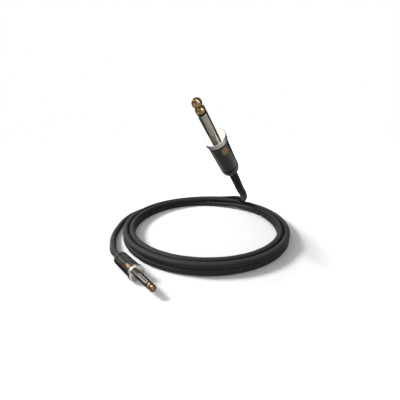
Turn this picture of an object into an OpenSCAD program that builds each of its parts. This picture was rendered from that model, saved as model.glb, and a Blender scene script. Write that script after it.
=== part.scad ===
// Instrument cable: a coiled audio lead with a straight two-contact plug at each end.
// Millimetres, +Z up, the coil and plug A lying on z = 0.
// Each plug is drawn along its own axis: z = 0 on the flange's front face, +z towards the tip.

/* [Cable] */
// Outside diameter of the cable's jacket
cable_d = 7.3; // [6.6:0.1:7.4]
// Outside diameter of the coil
coil_d = 229.3; // [220:0.1:240]
// Clearance between strands that lie side by side in the coil
side_gap = 0.85; // [0.85:0.05:1.4]
// Clearance between strands that lie one over the other
layer_gap = 0.42; // [0.42:0.02:0.8]
// How far the reversing turn swings inwards while it climbs
reverse_bulge = 4; // [3:0.5:6]
// How much of a strand's underside is cut flat where it lies on the floor
floor_cut = 0.37; // [0.3:0.01:0.5]

/* [Coil turns] */
// Azimuth where the cable from plug A joins the coil, in degrees
coil_start = 125; // [110:5:140]
// Arc from there to where the cable to plug B leaves the coil, beyond the full turns, in degrees
coil_arc = 30; // [15:15:30]
// Azimuth around which the top layer steps outwards by one strand, in degrees
top_step = 70; // [66:1:74]
// Azimuth around which the reversing turn climbs to the top layer, in degrees
climb_step = 55; // [52:1:58]
// Azimuth around which the bottom layer steps inwards by one strand, in degrees
bottom_step = 40; // [36:1:44]
// Arc over which each step is spread, in degrees
step_arc = 100; // [90:5:110]
// Arc over which the reversing turn swings in and back, in degrees
bulge_arc = 160; // [150:5:170]

/* [Plug contacts] */
// Diameter of the plug's sleeve
sleeve_d = 6.35; // [6.3:0.05:6.5]
// Length of the sleeve from the flange to the insulating ring
sleeve_len = 21.1; // [18:0.1:24]
// Diameter of the insulating ring between sleeve and tip
ring_d = 6; // [5.8:0.05:6.05]
// Thickness of the insulating ring
ring_t = 1.5; // [0.6:0.1:2]
// Length of the tip in front of the insulating ring
tip_len = 8.8; // [8.4:0.1:10]
// Diameter of the tip's rear shoulder
shoulder_d = 6.3; // [6.2:0.05:6.4]
// Length of the straight part of the shoulder
shoulder_len = 1.8; // [1.4:0.1:2.1]
// Length of the steep front of the shoulder
cone_len = 0.9; // [0.5:0.1:1.1]
// Diameter of the neck that the jack's spring drops into
neck_d = 3.8; // [3.5:0.1:4.4]
// Diameter of the tip's ball
ball_d = 6.2; // [6:0.05:6.4]
// Distance from the ball's centre to the tip's front
ball_back = 3; // [2.8:0.1:3.2]
// Latitude on the ball where its blunt front begins, in degrees
ball_arc = 36; // [30:1:40]
// Diameter of the flat at the very front
tip_flat_d = 2.4; // [1.6:0.1:3]
// Diameter of the tip's rod inside the plug
rod_d = 2.2; // [1.8:0.1:2.4]
// Wall of the insulating tube around the rod
tube_wall = 0.6; // [0.4:0.05:0.8]

/* [Plug body] */
// Diameter of the flange
flange_d = 15.8; // [15.2:0.1:17]
// Thickness of the flange
flange_t = 3.8; // [3:0.1:5]
// Bevel on the flange's edges
flange_bevel = 0.4; // [0.2:0.05:0.6]
// Diameter of the threaded boss behind the flange
boss_d = 12; // [11.4:0.1:12.2]
// Length of the threaded boss
boss_len = 7.2; // [6.8:0.1:8]
// Bevel on the boss's rear edge
boss_bevel = 0.4; // [0.2:0.05:0.6]

/* [Barrel] */
// Outside diameter of the barrel
barrel_d = 14.6; // [14.4:0.1:15.2]
// Length of the barrel
barrel_len = 34.9; // [33:0.1:38]
// Wall of the barrel around the solder joints
barrel_wall = 1.3; // [1.2:0.05:1.6]
// Length of the rounded rear end
nose_len = 4.5; // [4:0.1:6.5]
// Diameter of the barrel's rear edge
nose_d = 11; // [10:0.1:12]
// Thickness of the barrel's rear wall
rear_wall = 7; // [5:0.1:9]
// Width of the groove around the barrel's rear end
groove_w = 1; // [0.4:0.1:1.2]
// Depth of that groove
groove_depth = 0.6; // [0.2:0.05:0.7]
// Distance from the groove to the barrel's rear edge
groove_back = 7; // [5:0.1:8]
// Bevel on the barrel's front edge
barrel_bevel = 0.25; // [0.15:0.05:0.4]
// Open seam between the flange and the barrel when it is screwed home
seam = 0.25; // [0.1:0.05:0.5]
// How far the barrel backs off when it is unscrewed
barrel_travel = 6; // [3:0.5:6]
// Straight cable that still shows behind the barrel when it is unscrewed
tail_spare = 1; // [0.5:0.1:2]

/* [Inlay] */
// Length of the plain metal inlay along the barrel
inlay_len = 6.8; // [4:0.1:9]
// Width of the inlay
inlay_w = 4.4; // [3:0.1:6]
// Thickness of the inlay
inlay_t = 0.3; // [0.2:0.05:0.5]
// How far the inlay stands proud of the barrel
inlay_proud = 0.05; // [0:0.01:0.1]
// Distance from the barrel's front edge to the inlay's centre
inlay_back = 5.2; // [4.6:0.1:8]

/* [Inside the barrel] */
// Thickness of the solder lugs' sheet metal
lug_t = 0.6; // [0.4:0.1:0.8]
// Width of the ground lug's strip
lug_w = 3.2; // [2:0.1:4]
// Length of the clamp jaws around the jacket
jaw_len = 4; // [3:0.1:6]
// Opening left between the clamp jaws, in degrees
jaw_open = 70; // [40:5:120]
// Distance from the cut end of the jacket to the clamp jaws
jaw_inset = 1; // [0.5:0.1:2]
// Thickness of the insulating washer
washer_t = 1; // [0.6:0.1:1.4]
// Diameter of the insulating washer
washer_d = 5.8; // [5:0.1:5.9]
// Diameter of the rod's riveted end
rivet_d = 2.6; // [2.5:0.05:2.7]
// Height of the rod's riveted end
rivet_h = 0.5; // [0.3:0.1:0.8]
// Bevel on the riveted end's edge
rivet_bevel = 0.2; // [0.1:0.05:0.25]
// Length of the tip lug's solder cup
cup_len = 5.2; // [4.4:0.1:5.6]
// Length of the cup's closed front part
cup_closed = 1.4; // [1:0.1:2]
// Diameter of the core's insulation
core_d = 3; // [2.4:0.1:3.4]
// Diameter of the core's copper strands
wire_d = 1.2; // [0.8:0.1:1.4]
// Gap between the copper strands and the rod's riveted end
wire_gap = 0.7; // [0.4:0.1:1]
// Length of copper that stands out of the solder towards the rod
wire_bare = 0.5; // [0.3:0.1:0.8]
// How far the solder in the cup draws in at its ends
solder_dip = 0.3; // [0.2:0.05:0.4]
// Diameter of the twisted shield strands
shield_d = 1; // [0.6:0.1:1.2]
// Length of the twisted shield strands
shield_len = 5.8; // [5:0.1:6.5]
// Distance of the shield strands in from the jacket's surface
shield_inset = 0.1; // [0.05:0.01:0.2]
// Radius of the solder bead on the shield strands
bead_r = 1; // [0.8:0.05:1.1]
// Distance from the shield strands' end to the bead's centre
bead_back = 1.4; // [1.2:0.1:2]
// Bare length of core between the jacket and its insulation's end
core_len = 3.5; // [2.5:0.1:4]
// Distance from the flange's front face to the cut end of the jacket
jacket_cut = 23; // [22.5:0.1:24]
// Wall of the insulating liner
liner_wall = 0.6; // [0.4:0.05:0.7]

/* [Clearances] */
// Radial clearance between pieces that are pressed or riveted together
fit_gap = 0.03; // [0.02:0.01:0.05]
// Radial clearance of the barrel's thread on the boss
thread_gap = 0.06; // [0.03:0.01:0.09]
// Radial clearance of the liner in the barrel
liner_gap = 0.1; // [0.05:0.01:0.1]
// Clearance between the liner's rear end and the barrel's rear wall
liner_end_gap = 0.3; // [0.2:0.05:0.6]
// Space between the boss's end and the barrel's wider chamber
chamber_gap = 0.3; // [0.2:0.05:0.5]
// Radial clearance of the barrel's rear hole around the cable
cable_gap = 0.3; // [0.3:0.05:0.4]

/* [Layout] */
// Coil centre, from the middle of the two plugs, along X
coil_x = 34.78; // [0:0.01:60]
// Coil centre, from the middle of the two plugs, along Y
coil_y = 125.64; // [0:0.01:160]
// Rear end of plug A's straight cable, from the coil's centre
tail_a = [-96.3, -87.8, 7.2];
// Direction of plug A's tip seen from above, in degrees
turn_a = -45.8; // [-50:0.1:-40]
// Upward tilt of plug A's tip, in degrees
tilt_a = 1; // [0.8:0.1:1.2]
// Roll of plug A's inlay about the plug, in degrees
roll_a = 210; // [0:1:360]
// Rear end of plug B's straight cable, from the coil's centre
tail_b = [23, -112.2, 101];
// Direction of plug B's tip seen from above, in degrees
turn_b = -121.1; // [-125:0.1:-117]
// Upward tilt of plug B's tip, in degrees
tilt_b = 42; // [38:0.1:46]
// Roll of plug B's inlay about the plug, in degrees
roll_b = 57; // [0:1:360]

/* [Hidden] */
PIECES = [
    "tip_contact", "tip_ring", "tip_tube", "plug_body", "rear_washer", "tip_lug", "ground_lug",
    "core_insulation", "core_wire", "core_solder", "shield_tail", "shield_solder", "jacket_end",
    "liner", "barrel", "barrel_inlay",
];
SUFFIX = ["_a", "_b"];
$fn = 64;
overlap = 1;

// Radii of the plug
cable_r = cable_d / 2;
sleeve_r = sleeve_d / 2;
flange_r = flange_d / 2;
boss_r = boss_d / 2;
barrel_r = barrel_d / 2;
chamber_r = barrel_r - barrel_wall;
rod_r = rod_d / 2;
tube_r = rod_r + fit_gap + tube_wall;
bore_r = tube_r + fit_gap;
lug_in_r = cable_r + fit_gap;
lug_out_r = lug_in_r + lug_t;
cup_in_r = rivet_d / 2 + fit_gap;
cup_out_r = cup_in_r + lug_t;
liner_out_r = chamber_r - liner_gap;
shield_x = cable_r - shield_d / 2 - shield_inset;

// Stations along the plug, from the flange's front face; those behind it are negative
tip_base = sleeve_len + ring_t;
tip_front = tip_base + tip_len;
ball_z = tip_front - ball_back;
boss_end = -flange_t - boss_len;
ground_end = boss_end - lug_t;
washer_end = ground_end - washer_t;
cup_start = washer_end - lug_t;
cup_end = cup_start - cup_len;
core_end = -jacket_cut + core_len;
rivet_end = cup_start - rivet_h;
wire_end = rivet_end - wire_gap;
shield_end = -jacket_cut + shield_len;
strip_end = -jacket_cut - jaw_inset - jaw_len;
barrel_front = -flange_t - seam;
barrel_end = barrel_front - barrel_len;
chamber_start = boss_end - chamber_gap;
chamber_end = barrel_end + rear_wall;
tail_back = -barrel_end + barrel_travel + tail_spare;

// Cable strands in the coil; a faceted strand's corners lie a little outside the round one
full_turns = 4;
turn = 360;
strand_r = coil_d / 2 - cable_r;
strand_pitch = cable_d + side_gap;
layer_pitch = cable_d + layer_gap;
rest_z = cable_r - floor_cut;
corner_share = 1.04;
section_r = corner_share * cable_r;
coil_travel = full_turns * turn + coil_arc;
ring_step = 15;
ring_count = round(coil_travel / ring_step);

// Free stretches between the plugs and the coil, seen from the coil's centre
route_a = [
    [-105.5, -76, 6.7], [-110.5, -65, 5.5], [-115.5, -53, 4.5], [-120, -39.5, 3.8],
    [-123, -25.5, 3.5], [-124.5, -11, 3.3], [-125.5, 4, 3.3], [-125, 19, 3.3],
    [-122.5, 34, 3.3], [-117.5, 47.5, 3.3], [-108.5, 62.5, 3.3], [-97, 75.5, 3.3],
    [-85.5, 85.5, 3.3],
];
route_b = [
    [32, -94.5, 84.5], [36.5, -83, 77.5], [40, -69.5, 71], [43.5, -55, 65],
    [46.5, -39.5, 60], [49.5, -23.5, 55], [52.5, -7.5, 50], [55.5, 9, 45],
    [58.5, 25, 39.5], [61, 41, 33.5], [63.5, 55.5, 27.5], [65, 70, 22.5],
    [63.5, 83.5, 19.5], [56.5, 96.5, 17.5], [44, 106.5, 14], [29, 112, 11.5],
    [13, 114, 11],
];

// ---- Cable ----

function unit(v) = v / norm(v);

// Part of a step that is done at an azimuth, from 0 to 1, for a step around centre
function eased(u) = u * u * (3 - 2 * u);
function step(az, centre) = eased(min(1, max(0, (centre + step_arc / 2 - az) / step_arc)));

// The coil runs clockwise seen from above: in along the floor, up, and out again on top.
// Its azimuth falls by a full turn a time, and each turn steps by one strand at the back.
function coil_radius(az) =
    strand_r + strand_pitch * (
        1 - step(az, bottom_step) - step(az, bottom_step - turn)
        + step(az, top_step - 3 * turn) + step(az, top_step - 4 * turn)
    );
function swing(az) =
    let (v = min(1, max(0, (climb_step - 2 * turn + bulge_arc / 2 - az) / bulge_arc)))
    reverse_bulge * pow(sin(turn / 2 * v), 2);
function coil_point(az) =
    let (r = coil_radius(az) - swing(az))
    [r * cos(az), r * sin(az), rest_z + layer_pitch * step(az, climb_step - 2 * turn)];

turn_points = [for (i = [0:ring_count]) coil_point(coil_start - i * ring_step)];
coil_in = unit(coil_point(coil_start - 1) - coil_point(coil_start));
coil_out = unit(coil_point(coil_start - coil_travel) - coil_point(coil_start - coil_travel + 1));
coil_first = turn_points[0];
coil_last = turn_points[ring_count];

// The coil's centreline, straight for one diameter at both ends
coil_line = concat(
    [coil_first, coil_first + cable_d * coil_in],
    [for (i = [1:ring_count - 1]) turn_points[i]],
    [coil_last - cable_d * coil_out, coil_last]
);

// Tip direction and rear end of each plug
function tip_axis(turn, tilt) = [cos(tilt) * cos(turn), cos(tilt) * sin(turn), sin(tilt)];
axis_a = tip_axis(turn_a, tilt_a);
axis_b = tip_axis(turn_b, tilt_b);
line_a = concat(
    [tail_a, tail_a - cable_d * axis_a],
    route_a,
    [coil_first - cable_d * coil_in, coil_first]
);
line_b = concat(
    [coil_last, coil_last + cable_d * coil_out],
    [for (i = [len(route_b) - 1:-1:0]) route_b[i]],
    [tail_b - cable_d * axis_b, tail_b]
);

// Section of a tube around one point, cut flat where it would reach below the floor
function direction(line, i) =
    unit(line[min(i + 1, len(line) - 1)] - line[max(i - 1, 0)]);
function section(line, i, sides) =
    let (
        ahead = direction(line, i),
        side = unit(cross(ahead, [0, 0, 1])),
        up = cross(side, ahead),
        first = sides % 4 == 0 ? turn / sides / 2 : 0
    )
    [
        for (k = [0:sides - 1])
            let (
                angle = first + k * turn / sides,
                p = line[i] + section_r * (cos(angle) * side + sin(angle) * up)
            )
            [p[0], p[1], max(p[2], 0)]
    ];
function tube_points(line, sides) =
    [for (i = [0:len(line) - 1]) each section(line, i, sides)];

// Least distance between the corners of strands that lie beside or over each other
function ring_gap(points, i, j) =
    min([for (p = points[i]) for (q = points[j]) norm(p - q)]);
coil_sections = [for (i = [0:len(coil_line) - 1]) section(coil_line, i, 6)];
rings_apart = turn / ring_step - 2;
coil_gap = min([
    for (i = [0:len(coil_line) - 1])
        for (j = [i + rings_apart:len(coil_line) - 1])
            if (norm(coil_line[i] - coil_line[j]) < 2 * cable_d) ring_gap(coil_sections, i, j)
]);
echo(least_gap_in_coil = coil_gap);

module tube(line, sides) {
    rings = len(line);
    last = (rings - 1) * sides;
    polyhedron(
        points = tube_points(line, sides),
        faces = concat(
            [for (k = [1:sides - 2]) [0, k, k + 1]],
            [for (k = [1:sides - 2]) [last, last + k + 1, last + k]],
            [
                for (i = [0:rings - 2])
                    for (k = [0:sides - 1])
                        let (a = i * sides + k, b = i * sides + (k + 1) % sides)
                        each [[a, a + sides, b], [b, a + sides, b + sides]]
            ]
        )
    );
}

module lead_a() {
    color("#262626")
        tube(line_a, 8);
}

module lead_b() {
    color("#262626")
        tube(line_b, 8);
}

module cable_coil() {
    color("#262626")
        tube(coil_line, 6);
}

// ---- Plug, drawn along its own axis ----

module pipe(r_out, r_in, z_low, z_high) {
    difference() {
        translate([0, 0, z_low])
            cylinder(r = r_out, h = z_high - z_low);
        translate([0, 0, z_low - overlap])
            cylinder(r = r_in, h = z_high - z_low + 2 * overlap);
    }
}

// Tip with its rod: shoulder, cone, neck, ball and a blunt front, riveted over at the rear
module tip_contact() {
    ball_r = ball_d / 2;
    neck_angle = acos(neck_d / ball_d);
    neck_start = tip_base + shoulder_len + cone_len;
    arc_steps = 10;
    color("goldenrod")
        rotate_extrude()
            polygon(concat(
                [
                    [0, rivet_end],
                    [rivet_d / 2 - rivet_bevel, rivet_end],
                    [rivet_d / 2, rivet_end + rivet_bevel],
                    [rivet_d / 2, cup_start],
                    [rod_r, cup_start],
                    [rod_r, tip_base],
                    [shoulder_d / 2, tip_base],
                    [shoulder_d / 2, tip_base + shoulder_len],
                    [neck_d / 2, neck_start],
                ],
                [
                    for (k = [0:arc_steps])
                        let (angle = -neck_angle + k * (neck_angle + ball_arc) / arc_steps)
                        [ball_r * cos(angle), ball_z + ball_r * sin(angle)]
                ],
                [[tip_flat_d / 2, tip_front], [0, tip_front]]
            ));
}

module tip_ring() {
    color("#141414")
        pipe(ring_d / 2, rod_r + fit_gap, sleeve_len, tip_base);
}

module tip_tube() {
    color("ivory")
        pipe(tube_r, rod_r + fit_gap, ground_end, sleeve_len);
}

// Sleeve, flange and boss turned from one bar
module plug_body() {
    color("silver")
        difference() {
            rotate_extrude()
                polygon([
                    [0, boss_end],
                    [boss_r - boss_bevel, boss_end],
                    [boss_r, boss_end + boss_bevel],
                    [boss_r, -flange_t],
                    [flange_r - flange_bevel, -flange_t],
                    [flange_r, -flange_t + flange_bevel],
                    [flange_r, -flange_bevel],
                    [flange_r - flange_bevel, 0],
                    [sleeve_r, 0],
                    [sleeve_r, sleeve_len],
                    [0, sleeve_len],
                ]);
            translate([0, 0, boss_end - overlap])
                cylinder(r = bore_r, h = sleeve_len - boss_end + 2 * overlap);
        }
}

module rear_washer() {
    color("tan")
        pipe(washer_d / 2, rod_r + fit_gap, washer_end, ground_end);
}

// Riveted disc with a half-open solder cup behind it
module tip_lug() {
    color("gold")
        union() {
            pipe(cup_out_r, rod_r + fit_gap, cup_start, washer_end);
            difference() {
                pipe(cup_out_r, cup_in_r, cup_end, cup_start);
                translate([-2 * cup_out_r, -cup_out_r - overlap, cup_end - overlap])
                    cube([2 * cup_out_r, 2 * cup_out_r + 2 * overlap, cup_len - cup_closed + overlap]);
            }
        }
}

// Washer under the boss, a strip along the core and jaws crimped around the jacket
module ground_lug() {
    jaw_r = lug_out_r + overlap;
    color("gold")
        union() {
            pipe(lug_out_r, bore_r, ground_end, boss_end);
            intersection() {
                pipe(lug_out_r, lug_in_r, strip_end, ground_end);
                translate([0, -lug_w / 2, strip_end])
                    cube([lug_out_r + overlap, lug_w, ground_end - strip_end]);
            }
            difference() {
                pipe(lug_out_r, lug_in_r, strip_end, strip_end + jaw_len);
                translate([0, 0, strip_end - overlap])
                    linear_extrude(height = jaw_len + 2 * overlap)
                        polygon([
                            [0, 0],
                            [-jaw_r, -jaw_r * tan(jaw_open / 2)],
                            [-jaw_r, jaw_r * tan(jaw_open / 2)],
                        ]);
            }
        }
}

module core_insulation() {
    color("white")
        pipe(core_d / 2, wire_d / 2 + fit_gap, -jacket_cut, core_end);
}

module core_wire() {
    color("peru")
        translate([0, 0, -jacket_cut])
            cylinder(d = wire_d, h = jacket_cut + wire_end);
}

// Solder filling the cup around the bare core
module core_solder() {
    wire_r = wire_d / 2 + fit_gap;
    fill_r = cup_in_r - fit_gap;
    color("lightgray")
        rotate_extrude()
            polygon([
                [wire_r, wire_end - wire_bare],
                [fill_r, wire_end - wire_bare - solder_dip],
                [fill_r, cup_end],
                [wire_r + solder_dip, cup_end - 2 * solder_dip],
                [wire_r, cup_end - 2 * solder_dip],
            ]);
}

module shield_tail() {
    color("peru")
        translate([shield_x, 0, -jacket_cut])
            cylinder(d = shield_d, h = shield_end + jacket_cut);
}

// Solder bead that joins the twisted shield to the ground lug's strip
module shield_solder() {
    color("lightgray")
        difference() {
            intersection() {
                translate([shield_x, 0, shield_end - bead_back])
                    sphere(r = bead_r);
                translate([0, 0, shield_end - bead_back - 2 * bead_r])
                    cylinder(r = lug_in_r, h = 4 * bead_r);
            }
            translate([shield_x, 0, -jacket_cut])
                cylinder(r = shield_d / 2 + fit_gap, h = shield_end + jacket_cut);
        }
}

module jacket_end() {
    color("#262626")
        translate([0, 0, -tail_back])
            cylinder(r = cable_r, h = tail_back - jacket_cut);
}

module liner() {
    color("#f2ede0")
        pipe(liner_out_r, liner_out_r - liner_wall, chamber_end + liner_end_gap, washer_end);
}

// Outline of the inlay, laid flat
module inlay_outline(grow) {
    hull_r = inlay_w / 2 + grow;
    half = (inlay_len - inlay_w) / 2;
    union() {
        square([2 * half, 2 * hull_r], center = true);
        translate([-half, 0])
            circle(r = hull_r);
        translate([half, 0])
            circle(r = hull_r);
    }
}

module inlay_prism(roll, grow) {
    rotate([0, 0, roll])
        translate([0, 0, barrel_front - inlay_back])
            rotate([0, 90, 0])
                linear_extrude(height = barrel_d)
                    inlay_outline(grow);
}

// Round barrel with a rounded rear end, bored for the boss, the solder joints and the cable
module barrel(roll) {
    pocket_r = barrel_r + inlay_proud - inlay_t;
    arc_steps = 12;
    groove_z = barrel_end + groove_back;
    color("#1f1e1d")
        difference() {
            rotate_extrude()
                polygon(concat(
                    [
                        [0, barrel_front],
                        [barrel_r - barrel_bevel, barrel_front],
                        [barrel_r, barrel_front - barrel_bevel],
                    ],
                    [
                        for (k = [0:arc_steps])
                            let (angle = k * 90 / arc_steps)
                            [
                                nose_d / 2 + (barrel_r - nose_d / 2) * cos(angle),
                                barrel_end + nose_len * (1 - sin(angle))
                            ]
                    ],
                    [[0, barrel_end]]
                ));
            translate([0, 0, chamber_start])
                cylinder(r = boss_r + thread_gap, h = barrel_front - chamber_start + overlap);
            translate([0, 0, chamber_end])
                cylinder(r = chamber_r, h = chamber_start - chamber_end + overlap);
            translate([0, 0, barrel_end - overlap])
                cylinder(r = cable_r + cable_gap, h = rear_wall + 2 * overlap);
            pipe(barrel_r + overlap, groove_floor_r(), groove_z, groove_z + groove_w);
            intersection() {
                pipe(barrel_r + overlap, pocket_r, barrel_end, barrel_front);
                inlay_prism(roll, fit_gap);
            }
        }
}

// Radius of the groove's floor, measured in from the rounded end's surface there
function groove_floor_r() =
    let (
        along = min(1, (groove_back + groove_w / 2) / nose_len),
        rise = sqrt(1 - pow(1 - along, 2))
    )
    nose_d / 2 + (barrel_r - nose_d / 2) * rise - groove_depth;

module barrel_inlay(roll) {
    color("darkgoldenrod")
        intersection() {
            pipe(barrel_r + inlay_proud, barrel_r + inlay_proud - inlay_t, barrel_end, barrel_front);
            inlay_prism(roll, 0);
        }
}

// ---- Placing ----

module around_coil() {
    translate([coil_x, coil_y, 0])
        children();
}

module at_plug(tail, turn, tilt) {
    around_coil()
        translate(tail)
            rotate([0, 90 - tilt, turn])
                translate([0, 0, tail_back])
                    children();
}

module plug(suffix, roll) {
    tip_contact();
    tip_ring();
    tip_tube();
    plug_body();
    rear_washer();
    tip_lug();
    ground_lug();
    core_insulation();
    core_wire();
    core_solder();
    shield_tail();
    shield_solder();
    jacket_end();
    liner();
    barrel(roll);
    barrel_inlay(roll);
}

at_plug(tail_a, turn_a, tilt_a) plug(SUFFIX[0], roll_a);
at_plug(tail_b, turn_b, tilt_b) plug(SUFFIX[1], roll_b);
around_coil() lead_a();
around_coil() cable_coil();
around_coil() lead_b();
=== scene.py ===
"""Looks of the instrument cable: its coiled cord, two phone plugs, floor, light and camera."""

import logging
import math
from dataclasses import dataclass
from enum import Enum, IntEnum

import bmesh
import bpy
from mathutils import Euler, Matrix, Vector


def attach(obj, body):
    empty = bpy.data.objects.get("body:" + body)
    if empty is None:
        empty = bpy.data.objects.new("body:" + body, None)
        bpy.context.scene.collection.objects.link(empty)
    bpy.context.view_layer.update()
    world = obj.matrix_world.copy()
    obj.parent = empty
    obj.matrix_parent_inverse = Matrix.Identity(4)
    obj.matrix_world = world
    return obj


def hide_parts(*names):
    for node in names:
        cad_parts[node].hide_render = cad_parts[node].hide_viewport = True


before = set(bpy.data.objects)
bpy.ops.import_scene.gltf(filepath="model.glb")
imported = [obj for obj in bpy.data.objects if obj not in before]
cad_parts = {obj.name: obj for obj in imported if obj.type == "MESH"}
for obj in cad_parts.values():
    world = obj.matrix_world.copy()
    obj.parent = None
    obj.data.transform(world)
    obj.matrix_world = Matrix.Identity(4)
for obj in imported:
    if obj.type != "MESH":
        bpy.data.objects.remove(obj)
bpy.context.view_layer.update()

LOG = logging.getLogger("instrument_cable")
ROOT_BODY = "cable_and_plugs"

Triple = tuple[float, float, float]
Colour = Triple
Range = tuple[float, float]
Socket = bpy.types.NodeSocket
Material = bpy.types.Material
MaterialOf = dict[str, Material]
Mesh = bmesh.types.BMesh
Vert = bmesh.types.BMVert
Edge = bmesh.types.BMEdge


# ---- Plug layout ----


@dataclass(frozen=True)
class PlugPose:
    """Where a plug lies, as the model's source gives it, with lengths in metres.

    Attributes:
        suffix: Letter that ends the plug's node names.
        tail: Rear end of the straight cable behind the plug, from the coil's centre.
        turn: Direction of the tip seen from above, in degrees.
        tilt: Upward tilt of the tip, in degrees.
    """

    suffix: str
    tail: Triple
    turn: float
    tilt: float

    @property
    def euler(self) -> Euler:
        """Turn that takes the plug's own axes to the object's."""
        return Euler((0.0, math.radians(90.0 - self.tilt), math.radians(self.turn)))

    @property
    def axis(self) -> Vector:
        """Direction of the tip."""
        return self.euler.to_matrix() @ Vector((0.0, 0.0, 1.0))

    @property
    def origin(self) -> Vector:
        """Centre of the flange's front face."""
        return COIL_CENTRE + Vector(self.tail) + TAIL_BACK * self.axis

    @property
    def matrix(self) -> Matrix:
        """Transform from the plug's own axes, +Z towards the tip, to the object's."""
        return Matrix.Translation(self.origin) @ self.euler.to_matrix().to_4x4()

    def station(self, along: float) -> Vector:
        """Point on the plug's axis, at a distance from the flange's front face towards the tip."""
        return self.origin + along * self.axis

    def node(self, piece: str) -> str:
        """Name of one of the plug's nodes."""
        return f"{piece}_{self.suffix}"


COIL_CENTRE = Vector((0.03478, 0.12564, 0.0))
TAIL_BACK = 0.04595  # From the flange's front face back to the tail.
JACKET_CUT = 0.023  # To where the jacket is cut away.
BARREL_END = 0.03895  # To the barrel's rear end.
PLUG_A = PlugPose("a", (-0.0963, -0.0878, 0.0072), -45.8, 1.0)
PLUG_B = PlugPose("b", (0.023, -0.1122, 0.101), -121.1, 42.0)

# What the studio's cards are aimed at.
SLEEVE_A = PLUG_A.station(0.012)
BALL_A = PLUG_A.station(0.026)
BALL_B = PLUG_B.station(0.027)
BESIDE_A = Vector((-0.077, -0.01, 0.008))


# ---- Materials ----

NOISE_SPAN = (0.3, 0.7)  # Where most of a noise's values lie.
WHITE = (1.0, 1.0, 1.0, 1.0)


@dataclass(frozen=True)
class Grain:
    """A noise pattern.

    Attributes:
        scale: Features per metre.
        detail: Octaves.
        roughness: Strength of each next octave.
    """

    scale: float
    detail: float = 2.0
    roughness: float = 0.5


class Graph:
    """Builds a node tree."""

    MIX_FIRST, MIX_SECOND, MIX_RESULT = 6, 7, 2  # The Mix node's sockets for colours.

    def __init__(self, tree: bpy.types.NodeTree) -> None:
        """Takes a tree and empties it."""
        self.tree = tree
        self.tree.nodes.clear()

    def add(self, kind: str, settings: dict | None = None, inputs: dict | None = None) -> bpy.types.Node:
        """Adds a node.

        Args:
            kind: The node's type.
            settings: Values of the node's own properties.
            inputs: Constants or sockets for its inputs, by name or index.

        Returns:
            The new node.
        """
        node = self.tree.nodes.new(kind)
        for key, value in (settings or {}).items():
            setattr(node, key, value)
        for key, value in (inputs or {}).items():
            self.put(node.inputs[key], value)
        return node

    def put(self, socket: Socket, value: object) -> None:
        """Links a socket to an output, or gives it a constant.

        Args:
            socket: The input to set.
            value: An output socket or a constant.
        """
        if isinstance(value, Socket):
            self.tree.links.new(value, socket)
        else:
            socket.default_value = value

    def maths(self, operation: str, *values: object) -> Socket:
        """Adds a Math node and returns its output."""
        return self.add("ShaderNodeMath", {"operation": operation}, dict(enumerate(values))).outputs[0]

    def split(self, vector: Socket) -> list[Socket]:
        """Splits a vector into X, Y and Z."""
        return list(self.add("ShaderNodeSeparateXYZ", None, {0: vector}).outputs)

    def noise(self, vector: Socket, grain: Grain) -> Socket:
        """Adds noise on a vector and returns its value, about 0.5 on average."""
        inputs = {0: vector, "Scale": grain.scale, "Detail": grain.detail, "Roughness": grain.roughness}
        return self.add("ShaderNodeTexNoise", None, inputs).outputs[0]

    def spread(self, value: Socket, low: float, high: float, to_low: float, to_high: float) -> Socket:
        """Maps a value from low and high to to_low and to_high, and holds it at the ends."""
        inputs = {0: value, 1: low, 2: high, 3: to_low, 4: to_high}
        return self.add("ShaderNodeMapRange", {"clamp": True}, inputs).outputs[0]

    def blend(self, factor: Socket, first: object, second: object) -> Socket:
        """Mixes two colours.

        Args:
            factor: Share of the second colour.
            first: A colour or a socket.
            second: The other colour or socket.

        Returns:
            The mixed colour.
        """
        node = self.add("ShaderNodeMix", {"data_type": "RGBA"}, {0: factor})
        for index, colour in ((self.MIX_FIRST, first), (self.MIX_SECOND, second)):
            self.put(node.inputs[index], (*colour, 1.0) if isinstance(colour, tuple) else colour)
        return node.outputs[self.MIX_RESULT]

    def bump(self, height: Socket, distance: float, strength: float = 1.0,
             under: Socket | None = None) -> Socket:
        """Adds a bump and returns its normal.

        Args:
            height: Height from 0 to 1.
            distance: Real height of the relief, in metres.
            strength: How much of it shows.
            under: Normal that the relief stands on.

        Returns:
            The bumped normal.
        """
        inputs = {"Height": height, "Distance": distance, "Strength": strength}
        if under is not None:
            inputs["Normal"] = under
        return self.add("ShaderNodeBump", None, inputs).outputs[0]

    def place(self) -> Socket:
        """Object coordinates."""
        return self.add("ShaderNodeTexCoord").outputs["Object"]

    def plug_place(self, pose: PlugPose) -> Socket:
        """Object coordinates turned to a plug's own axes, with zero on the flange's front face."""
        inputs = {"Vector": self.place(), "Location": pose.origin, "Rotation": pose.euler}
        return self.add("ShaderNodeMapping", {"vector_type": "TEXTURE"}, inputs).outputs[0]

    def turned(self, pose: PlugPose, wobble: float) -> Socket:
        """Position on a turned piece as its radius and height, almost the same all the way round.

        Args:
            pose: The plug that the piece belongs to.
            wobble: Share of the way round that is kept, so that no line runs quite true.

        Returns:
            A vector of radius, height and a little of the way round.
        """
        x, y, z = self.split(self.plug_place(pose))
        squares = self.maths("ADD", self.maths("MULTIPLY", x, x), self.maths("MULTIPLY", y, y))
        around = self.maths("MULTIPLY", self.maths("ADD", x, y), wobble)
        inputs = {0: self.maths("SQRT", squares), 1: z, 2: around}
        return self.add("ShaderNodeCombineXYZ", None, inputs).outputs[0]


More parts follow.
